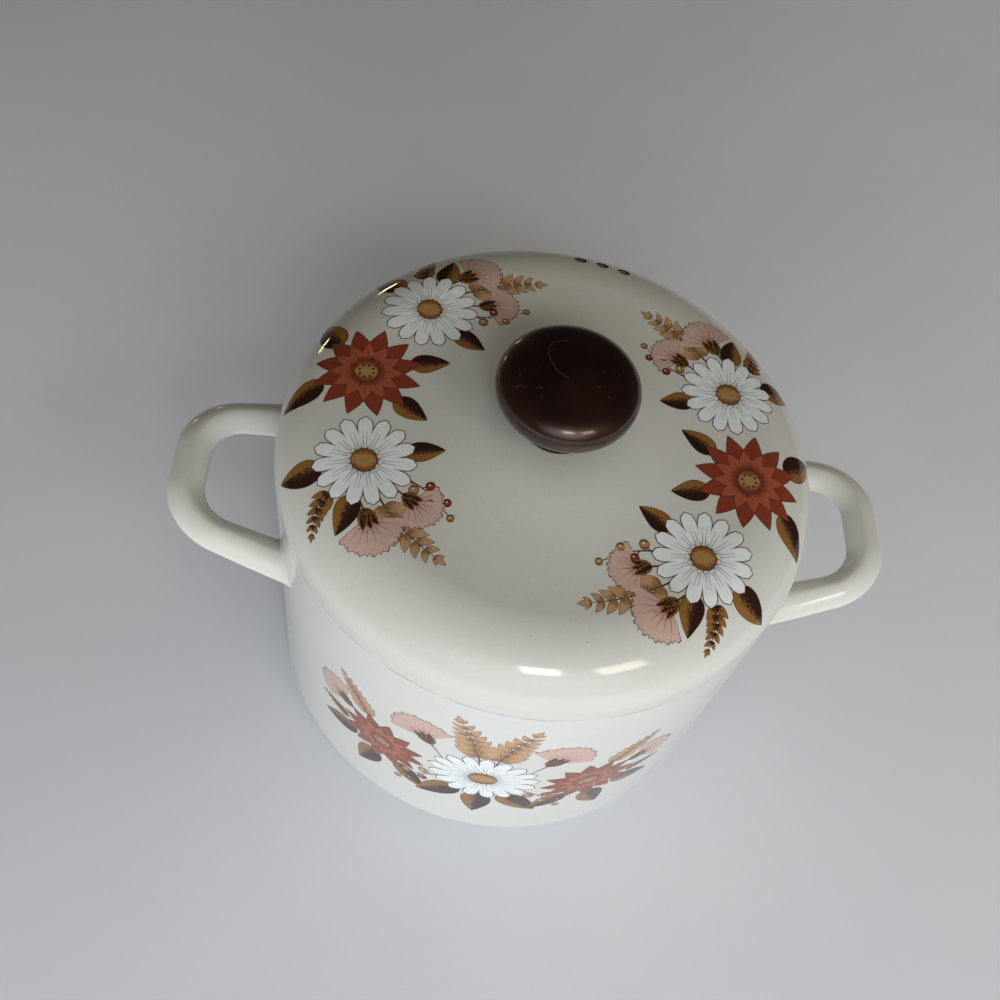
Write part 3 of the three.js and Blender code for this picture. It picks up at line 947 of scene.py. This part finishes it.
def lid_garland(name, azimuth):
    """A crescent of flowers along the lid's shoulder, alike to both sides of its middle."""
    spray = Print(lay_on_lid)
    heart, heart_size = 79 * direction(azimuth), 22
    ray_turn, ray_size = 31.5, 20
    spray.dahlia(heart, heart_size, azimuth)
    for side in (-1, 1):
        def spot(run, turn, side=side):
            return run * direction(azimuth + side * turn)

        def aim(turn, heading, side=side):
            return azimuth + side * (turn + heading)

        for heading, length, width in ((36, 21, 11.5), (150, 16, 9)):
            lean = aim(0, heading)
            spray.leaf(tucked(heart, heart_size, lean), lean, length, width, 14 * side)
        ray = spot(77, ray_turn)
        spray.marguerite(ray, ray_size, azimuth)
        for heading, length, width in ((-2, 20, 11), (62, 17, 9.5), (178, 15, 8.5)):
            lean = aim(ray_turn, heading)
            spray.leaf(tucked(ray, ray_size, lean), lean, length, width, -12 * side)
        lean = aim(ray_turn, 140)
        spray.berries(tucked(ray, ray_size, lean), lean, 22, -30 * side)
        spray.pinkling(spot(85, 49), aim(49, 80), 14.5)
        spray.pinkling(spot(67, 50), aim(50, 108), 12.5)
        spray.fern(spot(77, 44), aim(44, 92), 36, 26 * side)
        lean = aim(ray_turn, 34)
        spray.fern(tucked(ray, ray_size, lean), lean, 22, 34 * side, 6, "brown")
    return spray.piece(name)


def pot_spray(name):
    """A spray across the pot's front that fans out from one white flower."""
    spray = Print(lay_on_pot)
    middle, middle_size = np.array((-13.0, 79.0)), 24
    star_size = 20.5
    spray.marguerite(middle, middle_size, 6, 17)
    spray.leaf(tucked(middle, middle_size, -90), -90, 26, 13)
    for side in (-1, 1):
        def aim(heading, side=side):
            return heading if side > 0 else 180 - heading

        def under(centre, radius, heading, aim=aim):
            return tucked(centre, radius, aim(heading)), aim(heading)

        star = middle + (46 * side, -4)
        spray.dahlia(star, star_size, 8 * side)
        spray.leaf(*under(middle, middle_size, -58), 27, 13, 14 * side)
        spray.leaf(*under(star, star_size, -78), 24, 12, 14 * side)
        spray.leaf(*under(star, star_size, -34), 22, 11, 16 * side)
        spray.berries(*under(middle, middle_size, -30), 27, -34 * side)
        spray.leaf(*under(star, star_size, -122), 22, 11, -14 * side)
        spray.pinkling(middle + (67 * side, 10), aim(24), 15)
        spray.pinkling(middle + (27 * side, 27), aim(60), 17)
        spray.fern(*under(middle, middle_size, 80), 42, -14 * side)
        spray.fern(*under(star, star_size, 66), 30, -16 * side)
        spray.fern(*under(star, star_size, -6), 18, 20 * side, 6, "brown")
    return spray.piece(name)


def knob_scratches(name):
    """One long curved hairline and a few short scuffs on the knob's top."""
    marks = Print(lay_on_knob)
    hairline = [(-1.7, 13.3), (-5, 13.5), (-7.6, 12.2), (-9.1, 9.4), (-9.5, 6.3), (-8.7, 3.9)]
    hairline += [(-7.6, 1.5), (-6.5, -1.1), (-3.9, -3.2), (-1.7, -4.7)]
    scuffs = [(-20.9, -8.5, 12, 2.4), (-18.4, -9.2, 20, 2.0), (-19.7, -3.7, 35, 1.4)]
    scuffs += [(-12.8, -8.9, -20, 1.6), (-11.5, -13.7, 70, 1.2), (11, 0, 40, 1.8)]
    scuffs += [(9, -6.7, 15, 1.3), (12.8, -9.8, -30, 1.6), (18.8, 3, 80, 1.2)]
    for start, stop in zip(np.array(hairline), np.array(hairline[1:])):
        turn = math.degrees(math.atan2(*(stop - start)[::-1]))
        length = np.linalg.norm(stop - start)
        marks.blade(start, turn, length, 0.17, np.ones_like, "scratch", 1, rows=3, columns=1)
    for x, y, heading, length in scuffs:
        marks.line((x, y), heading, length, 0.22, 1, 0, 3, "scratch")
    return marks.piece(name)


# Pieces

def dress(piece, body, slot=None, *nodes):
    """Fixes a piece to its body and hides the nodes that it stands for; the slot is not used."""
    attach(piece, body)
    if nodes:
        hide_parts(*nodes)


dress(turned("pot_shell", pot_section(), pot_enamel), "pot", "pot_enamel", "pot_body")
for side, azimuth in (("right", 0.0), ("left", math.pi)):
    loop = strap(f"{side}_loop", azimuth, handle_enamel)
    dress(loop, "pot", "handle_enamel", f"{side}_handle")
dress(pot_spray("pot_front_spray"), "pot")

LID = "lid_with_knob"
lid_dome = turned("lid_dome", lid_section(), lid_enamel, turn=LID_TURN)
cut(lid_dome, [vent_cutter(index, vent_ground_coat, lid_enamel) for index in range(VENT_COUNT)])
dress(lid_dome, LID, "lid_enamel", "lid")
dress(lid_garland("lid_garland_left", 166), LID)
dress(lid_garland("lid_garland_right", -11), LID)

dress(turned("knob_button", knob_section(), knob_phenolic, KNOB_SEGMENTS), LID,
      "knob_phenolic", "knob")
dress(knob_scratches("knob_scratches"), LID)
fibre_section = ring_section(SCREW_HOLE, FIBRE_WASHER[0], FIBRE_TOP - FIBRE_WASHER[1], FIBRE_TOP)
fibre_ring = turned("fibre_ring", fibre_section, washer_fibre, SMALL_SEGMENTS)
dress(fibre_ring, LID, "washer_fibre", "fibre_washer")
dress(spring_ring("spring_ring", fastener_zinc), LID, "fastener_steel", "spring_washer")
dress(screw("slotted_screw", fastener_zinc), LID, "fastener_steel", "knob_screw")
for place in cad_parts["knob_insert"].material_slots:
    place.material = insert_brass.material


# Stage

def ground(name, half, finish):
    """A flat floor, so many metres to each side."""
    mesh = bpy.data.meshes.new(name)
    corners = [(-half, -half, 0), (half, -half, 0), (half, half, 0), (-half, half, 0)]
    mesh.from_pydata(corners, [], [(0, 1, 2, 3)])
    mesh.materials.append(finish.material)
    floor = bpy.data.objects.new(name, mesh)
    bpy.context.scene.collection.objects.link(floor)


def panel(name, place, size, power, colour=(1, 1, 1), fade=0.5, mirrored=True, lights=True):
    """A lamp that faces the pot and dims towards its edges; metres and watts.

    One that isn't mirrored doesn't show in gloss, and one that doesn't light shows there alone.
    """
    lamp = bpy.data.lights.new(name, "AREA")
    lamp.shape = "RECTANGLE"
    lamp.size, lamp.size_y = size
    lamp.energy = power
    lamp.color = colour
    lamp.use_nodes = True
    wiring = Wiring(lamp.node_tree)
    spot = wiring.node("ShaderNodeNewGeometry", output="Parametric")
    glow = 1
    for axis in "XY":
        across = wiring.node("ShaderNodeSeparateXYZ", {}, {0: spot}, axis)
        glow = wiring.band(abs(across - 0.5), 0.5, 0.5 - fade) * glow
    wiring.feed(lamp.node_tree.nodes["Emission"].inputs["Strength"], glow)
    holder = bpy.data.objects.new(name, lamp)
    holder.location = place
    towards = Vector(LAMP_AIM) - Vector(place)
    holder.rotation_euler = towards.to_track_quat("-Z", "Y").to_euler()
    holder.visible_camera = False
    holder.visible_glossy = mirrored
    holder.visible_diffuse = lights
    bpy.context.scene.collection.objects.link(holder)


LAMP_AIM = (0, 0, 0.12)
COOL = (0.91, 0.96, 1.0)
WARM = (1.0, 0.9, 0.7)
AMBER = (1.0, 0.75, 0.4)
ground("floor", 4.0, pale_floor("pale_floor"))
panel("front_window", (0.1, -1.6, 0.35), (2.6, 0.7), 46, COOL, mirrored=False)
panel("front_sky", (0.05, -1.1, 0.85), (2.2, 1.5), 20.5, COOL)
panel("left_pane", (0.13, -1.08, 1.19), (0.36, 0.3), 3.6, fade=0.2)
panel("right_pane", (0.62, -0.84, 1.06), (0.4, 0.3), 2.8, WARM, fade=0.2)
panel("left_wall", (-1.3, -0.2, 0.6), (1.6, 1.2), 4, WARM, mirrored=False)
panel("left_sill", (-0.8, -0.9, 0.25), (0.9, 0.5), 14, COOL, mirrored=False)
panel("right_wall", (1.3, -0.2, 0.6), (1.6, 1.2), 16, mirrored=False)
panel("rear_wall", (0.9, 0.9, 0.5), (1.6, 1.0), 6, WARM, mirrored=False)
panel("ceiling", (0.0, 0.0, 1.4), (1.0, 1.0), 4, WARM, mirrored=False)
for index, place in enumerate(((-0.56, 1.49, 0.08), (-0.98, 1.25, 0.14))):
    panel(f"rear_glint_{index}", place, (0.12, 0.06), 0.6, AMBER, fade=0.2, lights=False)

world = bpy.data.worlds.new("studio")
bpy.context.scene.world = world
world.use_nodes = True
sky = world.node_tree.nodes["Background"].inputs
sky["Color"].default_value = (1.0, 0.9, 0.75, 1)
sky["Strength"].default_value = 0.02

FRAME_SIDE = 1000
FOCAL_LENGTH = 1121.4
OPTICAL_AXIS = (515.0, 497.3)
CAMERA_PLACE = (-0.0576, -0.2578, 0.5373)
HEADING, DIP, ROLL = (math.radians(angle) for angle in (10.63, 57.35, 14.56))
camera = bpy.data.objects.new("camera", bpy.data.cameras.new("camera"))
camera.data.sensor_width = 36
camera.data.lens = camera.data.sensor_width * FOCAL_LENGTH / FRAME_SIDE
camera.data.shift_x = 0.5 - OPTICAL_AXIS[0] / FRAME_SIDE
camera.data.shift_y = OPTICAL_AXIS[1] / FRAME_SIDE - 0.5
camera.data.clip_start = 0.01
camera.location = CAMERA_PLACE
look = Matrix.Rotation(-HEADING, 3, "Z") @ Matrix.Rotation(math.pi / 2 - DIP, 3, "X")
camera.rotation_euler = (look @ Matrix.Rotation(ROLL, 3, "Z")).to_euler()
bpy.context.scene.collection.objects.link(camera)
bpy.context.scene.camera = camera
bpy.context.scene.view_settings.view_transform = "Standard"

bpy.context.view_layer.update()
